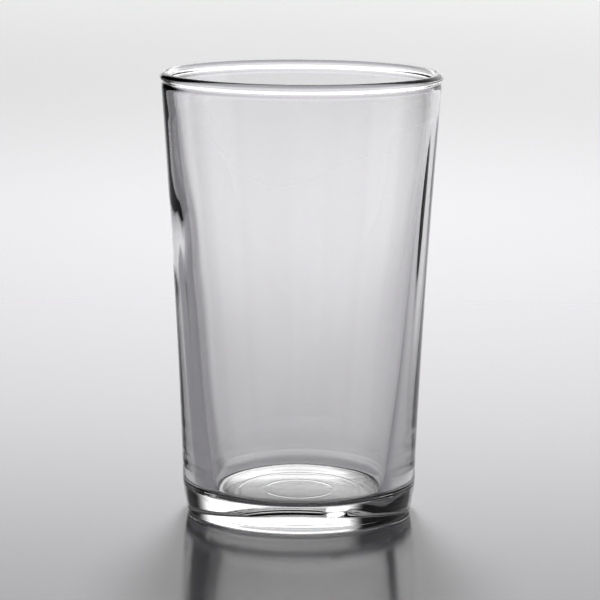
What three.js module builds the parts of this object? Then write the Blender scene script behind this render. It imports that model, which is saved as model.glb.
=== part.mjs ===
// A pint glass: one piece of clear pressed glass, open at the top.
// Millimetres, +Z up. The origin is the centre of the foot, on the surface that the glass stands on.

import * as THREE from 'three';

// ---- Driving dimensions ----------------------------------------------------------------------

const HEIGHT = 137.5;

// The rolled bead round the mouth, and the shallow groove under it.
const RIM_RADIUS = 41.95; // axis of the glass to the middle of the bead
const BEAD_RADIUS = 1.5;
const BEAD_START_ANGLE = -45; // degrees below horizontal where the groove runs into the bead
const GROOVE_HEIGHT = HEIGHT - 3.1;
const GROOVE_DEPTH = 0.3;
const GROOVE_WIDTH = 0.8;

// The outside of the wall: upright above the heel, then a flare that opens slightly more with height.
const WAIST_RADIUS = 36.38;
const FLARE_START = 14;
const FLARE_SLOPE = 0.039;
const FLARE_CURVE = 0.00015;
const FLARE_BLEND = 4;

// The heel tucks in under the waist: a wide arc, then a straight lean, then a small round corner.
const HEEL_HEIGHT = 12.5;
const HEEL_ARC_RADIUS = 37.7;
const HEEL_LEAN = 11; // degrees from upright
const CORNER_RADIUS = 1.7;

// The cavity is a straight taper that ends in a fillet round a flat floor.
const FLOOR_HEIGHT = 7.5;
const CAVITY_TAPER = 0.1045;
const FILLET_HEIGHT = 3;
const FILLET_WIDTH = 3;

// The underside: a flat bearing ring round a shallow dome, which keeps the middle off the table.
const RING_INNER_RADIUS = 31.5;
const DOME_RISE = 1.2;

// ---- Facets ----------------------------------------------------------------------------------

const SEGMENTS = 72;
const DOME_STEPS = 5;
const CORNER_STEPS = 4;
const HEEL_STEPS = 4;
const WALL_STEPS = 10;
const GROOVE_STEPS = 4;
const BEAD_STEPS = 10;
const CAVITY_STEPS = 4;
const FILLET_STEPS = 7;

// ---- Heel: where its arc, its straight lean and its corner meet ---------------------------------

const LEAN = THREE.MathUtils.degToRad(HEEL_LEAN);
const ARC_FOOT_HEIGHT = HEEL_HEIGHT - HEEL_ARC_RADIUS * Math.sin(LEAN);
const ARC_FOOT_RADIUS = WAIST_RADIUS - HEEL_ARC_RADIUS * (1 - Math.cos(LEAN));
const CORNER_TOP_HEIGHT = CORNER_RADIUS * (1 - Math.sin(LEAN));
const CORNER_TOP_RADIUS = ARC_FOOT_RADIUS - (ARC_FOOT_HEIGHT - CORNER_TOP_HEIGHT) * Math.tan(LEAN);
const RING_OUTER_RADIUS = CORNER_TOP_RADIUS - CORNER_RADIUS * Math.cos(LEAN);

// ---- Profile functions: radius at a height -----------------------------------------------------

function heelArcRadius(z) {
  const drop = HEEL_HEIGHT - z;
  return WAIST_RADIUS - HEEL_ARC_RADIUS + Math.sqrt(HEEL_ARC_RADIUS * HEEL_ARC_RADIUS - drop * drop);
}

function wallRadius(z) {
  const rise = z - FLARE_START;
  const flare = FLARE_SLOPE * rise * rise / (rise + FLARE_BLEND) + FLARE_CURVE * rise * rise;
  const offset = (z - GROOVE_HEIGHT) / GROOVE_WIDTH;
  return WAIST_RADIUS + flare - GROOVE_DEPTH * Math.exp(-offset * offset);
}

function cavityRadius(z) {
  const beadInnerRadius = RIM_RADIUS - BEAD_RADIUS;
  return beadInnerRadius - CAVITY_TAPER * (HEIGHT - BEAD_RADIUS - z);
}

function filletRadius(z) {
  const drop = (FLOOR_HEIGHT + FILLET_HEIGHT - z) / FILLET_HEIGHT;
  return cavityRadius(z) - FILLET_WIDTH * (1 - Math.sqrt(1 - drop * drop));
}

// ---- Profile: from the axis under the base, up the outside, over the rim and down the inside ----

function point(radius, height) {
  return new THREE.Vector2(radius, height);
}

// Points from one height to another, on the curve that radiusAt gives. The first one is left out.
function climb(radiusAt, from, to, steps) {
  const points = [];
  for (let i = 1; i <= steps; i += 1) {
    const z = from + (to - from) * i / steps;
    points.push(point(radiusAt(z), z));
  }
  return points;
}

function undersideProfile() {
  const points = [];
  for (let i = 0; i <= DOME_STEPS; i += 1) {
    const share = i / DOME_STEPS;
    points.push(point(RING_INNER_RADIUS * share, DOME_RISE * (1 - share * share)));
  }
  return points;
}

// The round corner of the foot, from the bearing ring up to the straight lean.
function cornerProfile() {
  const points = [];
  for (let i = 0; i <= CORNER_STEPS; i += 1) {
    const angle = (Math.PI / 2 - LEAN) * i / CORNER_STEPS;
    const radius = RING_OUTER_RADIUS + CORNER_RADIUS * Math.sin(angle);
    points.push(point(radius, CORNER_RADIUS * (1 - Math.cos(angle))));
  }
  return points;
}

function outsideProfile() {
  const grooveFoot = GROOVE_HEIGHT - 2 * GROOVE_WIDTH;
  const grooveTop = GROOVE_HEIGHT + GROOVE_WIDTH / 4;
  return [
    point(ARC_FOOT_RADIUS, ARC_FOOT_HEIGHT),
    ...climb(heelArcRadius, ARC_FOOT_HEIGHT, HEEL_HEIGHT, HEEL_STEPS),
    point(WAIST_RADIUS, FLARE_START),
    ...climb(wallRadius, FLARE_START, grooveFoot, WALL_STEPS),
    ...climb(wallRadius, grooveFoot, grooveTop, GROOVE_STEPS),
  ];
}

function beadProfile() {
  const points = [];
  const start = THREE.MathUtils.degToRad(BEAD_START_ANGLE);
  for (let i = 0; i <= BEAD_STEPS; i += 1) {
    const angle = start + (Math.PI - start) * i / BEAD_STEPS;
    const radius = RIM_RADIUS + BEAD_RADIUS * Math.cos(angle);
    points.push(point(radius, HEIGHT - BEAD_RADIUS + BEAD_RADIUS * Math.sin(angle)));
  }
  return points;
}

// The fillet is sampled by angle, so that its tight end at the floor has the closer points.
function filletProfile() {
  const points = [];
  for (let i = 1; i <= FILLET_STEPS; i += 1) {
    const angle = Math.PI / 2 * (1 - i / FILLET_STEPS);
    const z = FLOOR_HEIGHT + FILLET_HEIGHT * (1 - Math.cos(angle));
    points.push(point(filletRadius(z), z));
  }
  return points;
}

function insideProfile() {
  return [
    ...climb(cavityRadius, HEIGHT - BEAD_RADIUS, FLOOR_HEIGHT + FILLET_HEIGHT, CAVITY_STEPS),
    ...filletProfile(),
    point(0, FLOOR_HEIGHT),
  ];
}

// ---- The piece -------------------------------------------------------------------------------

function makeTumbler() {
  const profile = [
    ...undersideProfile(),
    ...cornerProfile(),
    ...outsideProfile(),
    ...beadProfile(),
    ...insideProfile(),
  ];
  const geometry = new THREE.LatheGeometry(profile, SEGMENTS);
  geometry.rotateX(Math.PI / 2);
  const material = new THREE.MeshStandardMaterial({
    color: 0xe8eeee,
    roughness: 0.03,
    metalness: 0,
    transparent: true,
    opacity: 0.35,
  });
  const mesh = new THREE.Mesh(geometry, material);
  mesh.name = 'glass_tumbler';
  return mesh;
}

const pintGlass = new THREE.Group();
pintGlass.add(makeTumbler());

export default pintGlass;
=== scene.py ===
"""A pint glass on a plain glossy table, lit from behind and above by soft studio light.

The one CAD node is replaced by the same glass with smooth curves, the small waves that pressing
leaves in the wall, its mould marks and a clear glass material. Lengths are metres unless a name
ends in _MM. Heights are above the surface that the glass stands on.
"""
import math

import bmesh
import bpy
from mathutils import Matrix, Vector


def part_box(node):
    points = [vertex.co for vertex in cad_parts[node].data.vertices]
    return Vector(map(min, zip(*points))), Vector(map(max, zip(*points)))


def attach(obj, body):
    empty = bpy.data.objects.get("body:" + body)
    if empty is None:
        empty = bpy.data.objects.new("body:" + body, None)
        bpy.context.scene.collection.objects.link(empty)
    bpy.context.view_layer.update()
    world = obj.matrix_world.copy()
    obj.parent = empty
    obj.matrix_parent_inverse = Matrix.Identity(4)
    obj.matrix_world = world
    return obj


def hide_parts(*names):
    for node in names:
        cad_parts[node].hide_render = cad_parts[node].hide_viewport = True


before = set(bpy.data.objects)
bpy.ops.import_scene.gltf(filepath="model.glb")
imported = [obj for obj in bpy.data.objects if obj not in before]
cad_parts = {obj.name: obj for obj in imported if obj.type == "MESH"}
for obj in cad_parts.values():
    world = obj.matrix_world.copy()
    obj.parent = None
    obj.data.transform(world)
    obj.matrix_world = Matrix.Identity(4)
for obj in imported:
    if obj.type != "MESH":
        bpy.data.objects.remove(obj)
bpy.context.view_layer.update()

MM = 0.001
NODE = "glass_tumbler"

# ---- Sizes of the glass: the outline of the CAD node, as curves ----------------------------------

node_low, node_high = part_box(NODE)
HEIGHT_MM = (node_high.z - node_low.z) / MM
BEAD_RADIUS_MM = 1.5
RIM_RADIUS_MM = (node_high.x - node_low.x) / 2 / MM - BEAD_RADIUS_MM
BEAD_CENTRE_MM = HEIGHT_MM - BEAD_RADIUS_MM
BEAD_START = math.radians(-45)
GROOVE_HEIGHT_MM = HEIGHT_MM - 3.1
GROOVE_DEPTH_MM = 0.3
GROOVE_WIDTH_MM = 0.8

WAIST_RADIUS_MM = 36.38
FLARE_START_MM = 14.0
FLARE_SLOPE = 0.039
FLARE_CURVE = 0.00015
FLARE_BLEND_MM = 4.0

HEEL_HEIGHT_MM = 12.5
HEEL_ARC_RADIUS_MM = 37.7
HEEL_LEAN = math.radians(11)
CORNER_RADIUS_MM = 1.7

FLOOR_HEIGHT_MM = 7.5
CAVITY_TAPER = 0.1045
FILLET_HEIGHT_MM = 3.0
FILLET_WIDTH_MM = 3.0
FILLET_TOP_MM = FLOOR_HEIGHT_MM + FILLET_HEIGHT_MM

RING_INNER_RADIUS_MM = 31.5
DOME_RISE_MM = 1.2

# Where the heel's arc, its straight lean and its corner meet.
ARC_FOOT_HEIGHT_MM = HEEL_HEIGHT_MM - HEEL_ARC_RADIUS_MM * math.sin(HEEL_LEAN)
ARC_FOOT_RADIUS_MM = WAIST_RADIUS_MM - HEEL_ARC_RADIUS_MM * (1 - math.cos(HEEL_LEAN))
CORNER_TOP_MM = CORNER_RADIUS_MM * (1 - math.sin(HEEL_LEAN))
LEAN_FOOT_RADIUS_MM = ARC_FOOT_RADIUS_MM - (ARC_FOOT_HEIGHT_MM - CORNER_TOP_MM) * math.tan(HEEL_LEAN)
RING_OUTER_RADIUS_MM = LEAN_FOOT_RADIUS_MM - CORNER_RADIUS_MM * math.cos(HEEL_LEAN)

# Marks that pressing leaves. A spot is a height, half its height, a direction and half its width.
SEAM_HEIGHT_MM = 10.0
SEAM_SIZE_MM = 0.05
SEAM_WIDTH_MM = 0.22
RIPPLE_SIZE_MM = 0.02
RIPPLE_RATE = 1.4
RIPPLE_SPOT = (30.0, 4.0, 205, 9)
DIMPLE_DEPTH_MM = 0.22
DIMPLE_SPOT = (7.2, 0.7, 288.5, 3.0)
OFF_CENTRE_MM = 0.4
RIM_FADE_MM = 12
FLOOR_FADE_MM = 8
BULGE_MM = 0.45
BULGE_SPOT = (91.0, 9.0, 186, 14)
HOLLOW_MM = 0.12
HOLLOW_SPOT = (75.0, 5.0, 186, 14)
RIGHT_LINE_MM = 0.12
RIGHT_LINE_SPOT = (95.0, 32.0, 344, 3.5)
LEFT_LINE_MM = 0.08
LEFT_LINE_SPOT = (60.0, 30.0, 198, 3.5)
UNDER_RELIEF_MM = 0.1
DISC_RADIUS_MM = 10.7
DISC_EDGE_MM = 0.3
MOULD_RING_RADIUS_MM = 19.5
MOULD_RING_EDGE_MM = 0.4

SEGMENTS = 320


# ---- Outline: radius in mm at a height in mm -----------------------------------------------------

def heel_arc_radius(z):
    drop = HEEL_HEIGHT_MM - z
    return WAIST_RADIUS_MM - HEEL_ARC_RADIUS_MM + math.sqrt(HEEL_ARC_RADIUS_MM ** 2 - drop ** 2)


def wall_radius(z):
    rise = z - FLARE_START_MM
    flare = FLARE_SLOPE * rise * rise / (rise + FLARE_BLEND_MM) + FLARE_CURVE * rise * rise
    groove = GROOVE_DEPTH_MM * math.exp(-((z - GROOVE_HEIGHT_MM) / GROOVE_WIDTH_MM) ** 2)
    return WAIST_RADIUS_MM + flare - groove


def cavity_radius(z):
    return RIM_RADIUS_MM - BEAD_RADIUS_MM - CAVITY_TAPER * (BEAD_CENTRE_MM - z)


def fillet_radius(z):
    drop = (FILLET_TOP_MM - z) / FILLET_HEIGHT_MM
    return cavity_radius(z) - FILLET_WIDTH_MM * (1 - math.sqrt(max(0.0, 1 - drop * drop)))


# ---- Outline: rows of (surface, radius, height) from the axis under the base to the axis inside --

def spread(low, high, steps):
    """Evenly spaced values from low to high. The first one is left out."""
    return [low + (high - low) * i / steps for i in range(1, steps + 1)]


def underside_rows():
    rows = [("under", 0.0, DOME_RISE_MM)]
    for radius in spread(0, RING_INNER_RADIUS_MM, 84):
        share = radius / RING_INNER_RADIUS_MM
        rows.append(("under", radius, DOME_RISE_MM * (1 - share * share)))
    for radius in spread(RING_INNER_RADIUS_MM, RING_OUTER_RADIUS_MM, 4):
        rows.append(("ring", radius, 0.0))
    return rows


def outside_rows():
    rows = []
    for angle in spread(0, math.pi / 2 - HEEL_LEAN, 12):
        radius = RING_OUTER_RADIUS_MM + CORNER_RADIUS_MM * math.sin(angle)
        rows.append(("outside", radius, CORNER_RADIUS_MM * (1 - math.cos(angle))))
    for z in spread(CORNER_TOP_MM, ARC_FOOT_HEIGHT_MM, 16):
        radius = ARC_FOOT_RADIUS_MM - (ARC_FOOT_HEIGHT_MM - z) * math.tan(HEEL_LEAN)
        rows.append(("outside", radius, z))
    for z in spread(ARC_FOOT_HEIGHT_MM, HEEL_HEIGHT_MM, 26):
        rows.append(("outside", heel_arc_radius(z), z))
    rows.append(("outside", WAIST_RADIUS_MM, FLARE_START_MM))
    for z in spread(FLARE_START_MM, GROOVE_HEIGHT_MM - 2 * GROOVE_WIDTH_MM, 120):
        rows.append(("outside", wall_radius(z), z))
    for z in spread(GROOVE_HEIGHT_MM - 2 * GROOVE_WIDTH_MM, GROOVE_HEIGHT_MM + GROOVE_WIDTH_MM / 4, 12):
        rows.append(("outside", wall_radius(z), z))
    return rows


def bead_rows():
    rows = []
    for angle in [BEAD_START] + spread(BEAD_START, math.pi, 30):
        radius = RIM_RADIUS_MM + BEAD_RADIUS_MM * math.cos(angle)
        rows.append(("bead", radius, BEAD_CENTRE_MM + BEAD_RADIUS_MM * math.sin(angle)))
    return rows


def inside_rows():
    rows = []
    for z in spread(BEAD_CENTRE_MM, FILLET_TOP_MM, 120):
        rows.append(("inside", cavity_radius(z), z))
    for angle in spread(math.pi / 2, 0, 24):
        z = FLOOR_HEIGHT_MM + FILLET_HEIGHT_MM * (1 - math.cos(angle))
        rows.append(("inside", fillet_radius(z), z))
    floor_radius = fillet_radius(FLOOR_HEIGHT_MM)
    for share in spread(1, 0, 60):
        rows.append(("floor", floor_radius * share, FLOOR_HEIGHT_MM))
    return rows


# ---- What pressing leaves in the surfaces: small offsets in mm -----------------------------------

def hump(value, middle, width):
    return math.exp(-((value - middle) / width) ** 2)


def turn(angle, middle_degrees):
    """How far an angle is from a direction, in degrees, from -180 to 180."""
    return (math.degrees(angle) - middle_degrees + 180) % 360 - 180


def spot(angle, z, height, half_height, direction, half_width):
    """One at the middle of a local mark, falling to zero round it. Heights are mm, directions degrees."""
    return hump(z, height, half_height) * hump(turn(angle, direction), 0, half_width)


def outside_relief(angle, z):
    """Radial offset of the outer surface: parting seam, gentle waves, small ripples and one dimple."""
    seam = SEAM_SIZE_MM * hump(z, SEAM_HEIGHT_MM, SEAM_WIDTH_MM)
    wave = 0.02 * math.sin(3 * angle + 0.06 * z) + 0.012 * math.sin(7 * angle + 1.3 - 0.11 * z)
    ripple = RIPPLE_SIZE_MM * math.sin(RIPPLE_RATE * z) * spot(angle, z, *RIPPLE_SPOT)
    dimple = DIMPLE_DEPTH_MM * spot(angle, z, *DIMPLE_SPOT)
    return seam + wave + ripple - dimple


def inside_relief(angle, z):
    """Radial offset of the inner surface, which fades out at the rim and at the floor."""
    fade = min(1.0, (BEAD_CENTRE_MM - z) / RIM_FADE_MM, (z - FLOOR_HEIGHT_MM) / FLOOR_FADE_MM)
    off_centre = OFF_CENTRE_MM * math.cos(angle) * min(1.0, z / HEIGHT_MM * 1.3)
    wave = 0.05 * math.sin(2 * angle + 0.05 * z) + 0.03 * math.sin(5 * angle + 0.7 - 0.09 * z)
    bulge = BULGE_MM * spot(angle, z, *BULGE_SPOT)
    hollow = HOLLOW_MM * spot(angle, z, *HOLLOW_SPOT)
    line = RIGHT_LINE_MM * spot(angle, z, *RIGHT_LINE_SPOT)
    line += LEFT_LINE_MM * spot(angle, z, *LEFT_LINE_SPOT)
    return fade * (off_centre + wave - bulge + hollow - line)


def under_relief(radius):
    """Height offset of the underside: the edge of a plain disc and a ring left by the mould."""
    disc = hump(radius, DISC_RADIUS_MM, DISC_EDGE_MM)
    ring = hump(radius, MOULD_RING_RADIUS_MM, MOULD_RING_EDGE_MM)
    return -UNDER_RELIEF_MM * disc - UNDER_RELIEF_MM * ring


def place(surface, radius, z, angle):
    if surface == "outside":
        radius += outside_relief(angle, z)
    elif surface == "inside":
        radius += inside_relief(angle, z)
    elif surface == "under":
        z += under_relief(radius)
    return (radius * MM * math.cos(angle), radius * MM * math.sin(angle), z * MM)


# ---- The mesh ------------------------------------------------------------------------------------

def make_glass_mesh():
    rows = underside_rows() + outside_rows() + bead_rows() + inside_rows()
    mesh = bmesh.new()
    rings = []
    for surface, radius, z in rows:
        if radius < 1e-6:
            rings.append([mesh.verts.new((0, 0, z * MM))] * SEGMENTS)
            continue
        angles = [2 * math.pi * s / SEGMENTS for s in range(SEGMENTS)]
        rings.append([mesh.verts.new(place(surface, radius, z, angle)) for angle in angles])
    for below, above in zip(rings, rings[1:]):
        for s in range(SEGMENTS):
            n = (s + 1) % SEGMENTS
            corners = [below[s], below[n], above[n], above[s]]
            corners = [v for i, v in enumerate(corners) if v is not corners[i - 1]]
            face = mesh.faces.new(corners)
            face.smooth = True
    data = bpy.data.meshes.new("pressed_glass")
    mesh.to_mesh(data)
    mesh.free()
    return data


# ---- Light on the stage: strengths, and where they rise and fall ---------------------------------

# The soft light round the scene, by the height of its direction (0 is the horizon, 1 is overhead).
BAND = [(0.0, 1.35), (0.07, 1.35), (0.1, 1.35), (0.134, 1.05), (0.166, 1.14), (0.194, 1.46), (0.213, 1.55),
        (0.229, 1.47), (0.241, 1.3), (0.26, 1.2), (0.3, 1.4), (0.36, 1.1), (0.5, 0.7), (1.0, 0.4)]
BAND_PEAK = 3.0
TOP_LIGHT = 0.75
FRONT_LIGHT = 0.3
SIDE_LIGHT = 0.7
SKY_DARK = 0.02

# Where each light starts and where it is full, along one axis of the direction.
LEFT_EDGE = (-0.42, -0.27)
RIGHT_EDGE = (0.6, 0.8)
BACK_EDGE = (-0.1, 0.2)
TOP_EDGE = (0.6, 0.9)
FRONT_EDGE = (-0.6, -0.1)
SIDE_EDGE = (0.9, 0.98)
LEAN_SPAN = (-0.2, 0.2)
LEAN_LEFT = 0.94
LEAN_RIGHT = 1.03

# The table, and the long lamp over it, behind the glass. It lights the table and casts the shadow.
TABLE_SIZE = 14.0
TABLE_GREY = 0.22
TABLE_ROUGHNESS = 0.12
TABLE_IOR = 1.5
GLASS_IOR = 1.51
LAMP_WATTS = 16.5
LAMP_PLACE = (0.0, 0.6, 0.75)
LAMP_WIDTH = 0.12
LAMP_LENGTH = 0.6


# ---- Materials -----------------------------------------------------------------------------------

def new_material(name):
    material = bpy.data.materials.new(name)
    material.use_nodes = True
    return material, material.node_tree.nodes, material.node_tree.links


def map_range(nodes, links, source, low, high, out_low, out_high, smooth=True):
    """The source, mapped from low..high to out_low..out_high and held at the ends."""
    node = nodes.new("ShaderNodeMapRange")
    node.interpolation_type = "SMOOTHSTEP" if smooth else "LINEAR"
    links.new(source, node.inputs["Value"])
    for name, value in zip(("From Min", "From Max", "To Min", "To Max"), (low, high, out_low, out_high)):
        node.inputs[name].default_value = value
    return node.outputs[0]


def math_node(nodes, links, operation, first, second=0.0):
    node = nodes.new("ShaderNodeMath")
    node.operation = operation
    for socket, value in zip(node.inputs, (first, second)):
        if isinstance(value, float):
            socket.default_value = value
        else:
            links.new(value, socket)
    return node.outputs[0]


def product(nodes, links, first, *others):
    for other in others:
        first = math_node(nodes, links, "MULTIPLY", first, other)
    return first


def total(nodes, links, first, *others):
    for other in others:
        first = math_node(nodes, links, "ADD", first, other)
    return first


def glass_material():
    material, nodes, links = new_material("clear_glass")
    shader = nodes["Principled BSDF"]
    shader.inputs["Base Color"].default_value = (1, 1, 1, 1)
    shader.inputs["Roughness"].default_value = 0.0
    shader.inputs["IOR"].default_value = GLASS_IOR
    shader.inputs["Transmission Weight"].default_value = 1.0
    return material


def table_material():
    material, nodes, links = new_material("pale_table")
    shader = nodes["Principled BSDF"]
    shader.inputs["Base Color"].default_value = (TABLE_GREY, TABLE_GREY * 0.985, TABLE_GREY * 1.03, 1)
    shader.inputs["Roughness"].default_value = TABLE_ROUGHNESS
    shader.inputs["IOR"].default_value = TABLE_IOR
    return material


# ---- Stage ---------------------------------------------------------------------------------------

def make_table():
    data = bpy.data.meshes.new("table")
    half = TABLE_SIZE / 2
    data.from_pydata([(-half, -half, 0), (half, -half, 0), (half, half, 0), (-half, half, 0)],
                     [], [(0, 1, 2, 3)])
    table = bpy.data.objects.new("table", data)
    bpy.context.scene.collection.objects.link(table)
    data.materials.append(table_material())


def make_lamp():
    data = bpy.data.lights.new("lamp", "AREA")
    data.shape = "RECTANGLE"
    data.size = LAMP_WIDTH
    data.size_y = LAMP_LENGTH
    data.energy = LAMP_WATTS
    lamp = bpy.data.objects.new("lamp", data)
    bpy.context.scene.collection.objects.link(lamp)
    lamp.location = LAMP_PLACE
    lamp.visible_glossy = False
    lamp.visible_transmission = False


def make_world():
    """A wide soft band of light behind the glass, weaker light overhead, in front and at the far sides."""
    world = bpy.data.worlds.new("studio")
    bpy.context.scene.world = world
    world.use_nodes = True
    nodes = world.node_tree.nodes
    links = world.node_tree.links
    direction = nodes.new("ShaderNodeTexCoord")
    split = nodes.new("ShaderNodeSeparateXYZ")
    links.new(direction.outputs["Generated"], split.inputs[0])
    x, y, z = split.outputs

    ramp_node = nodes.new("ShaderNodeValToRGB")
    links.new(z, ramp_node.inputs[0])
    ramp = ramp_node.color_ramp
    ramp.interpolation = "B_SPLINE"
    for index, (height, light) in enumerate(BAND):
        stop = ramp.elements[index] if index < 2 else ramp.elements.new(height)
        stop.position = height
        stop.color = (light / BAND_PEAK, light / BAND_PEAK, light / BAND_PEAK, 1)
    left = map_range(nodes, links, x, *LEFT_EDGE, 0.0, BAND_PEAK)
    right = map_range(nodes, links, x, *RIGHT_EDGE, 1.0, 0.0)
    depth = map_range(nodes, links, y, *BACK_EDGE, 0.0, 1.0)
    lean = map_range(nodes, links, x, *LEAN_SPAN, LEAN_LEFT, LEAN_RIGHT, smooth=False)
    band = product(nodes, links, ramp_node.outputs["Color"], left, right, depth, lean)

    overhead = map_range(nodes, links, z, *TOP_EDGE, 0.0, TOP_LIGHT)
    leaning_back = map_range(nodes, links, y, *FRONT_EDGE, 0.0, 1.0)
    top = product(nodes, links, overhead, leaning_back)
    front = map_range(nodes, links, y, *FRONT_EDGE, FRONT_LIGHT, 0.0)
    sideways = math_node(nodes, links, "ABSOLUTE", x)
    sides = map_range(nodes, links, sideways, *SIDE_EDGE, 0.0, SIDE_LIGHT)
    light = total(nodes, links, band, top, front, sides, SKY_DARK)
    colour = nodes.new("ShaderNodeCombineColor")
    for socket in colour.inputs:
        links.new(light, socket)
    links.new(colour.outputs[0], nodes["Background"].inputs["Color"])


# ---- Camera --------------------------------------------------------------------------------------

CAMERA_DISTANCE = 6.875 * HEIGHT_MM * MM
CAMERA_HEIGHT = 1.638 * HEIGHT_MM * MM
CAMERA_LENS_MM = 185.3
CAMERA_PITCH = math.radians(9.53)
CAMERA_ROLL = math.radians(0.38)
VIEW_GAMMA = 0.7


def make_camera():
    data = bpy.data.cameras.new("camera")
    data.sensor_width = 36
    data.lens = CAMERA_LENS_MM
    data.clip_end = 50
    camera = bpy.data.objects.new("camera", data)
    bpy.context.scene.collection.objects.link(camera)
    aim = Matrix.Rotation(math.pi / 2 - CAMERA_PITCH, 4, "X") @ Matrix.Rotation(CAMERA_ROLL, 4, "Z")
    camera.matrix_world = Matrix.Translation((0, -CAMERA_DISTANCE, CAMERA_HEIGHT)) @ aim
    bpy.context.scene.camera = camera


# ---- Build ---------------------------------------------------------------------------------------

scene = bpy.context.scene
scene.view_settings.view_transform = "Standard"
scene.view_settings.gamma = VIEW_GAMMA
scene.cycles.max_bounces = 24
scene.cycles.transmission_bounces = 24
scene.cycles.glossy_bounces = 12
scene.cycles.transparent_max_bounces = 16
scene.cycles.blur_glossy = 0
scene.cycles.use_denoising = True

make_camera()
make_world()
make_table()
make_lamp()

glass = bpy.data.objects.new("pressed_glass", make_glass_mesh())
scene.collection.objects.link(glass)
glass.data.materials.append(glass_material())
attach(glass, "root")
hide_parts(NODE)
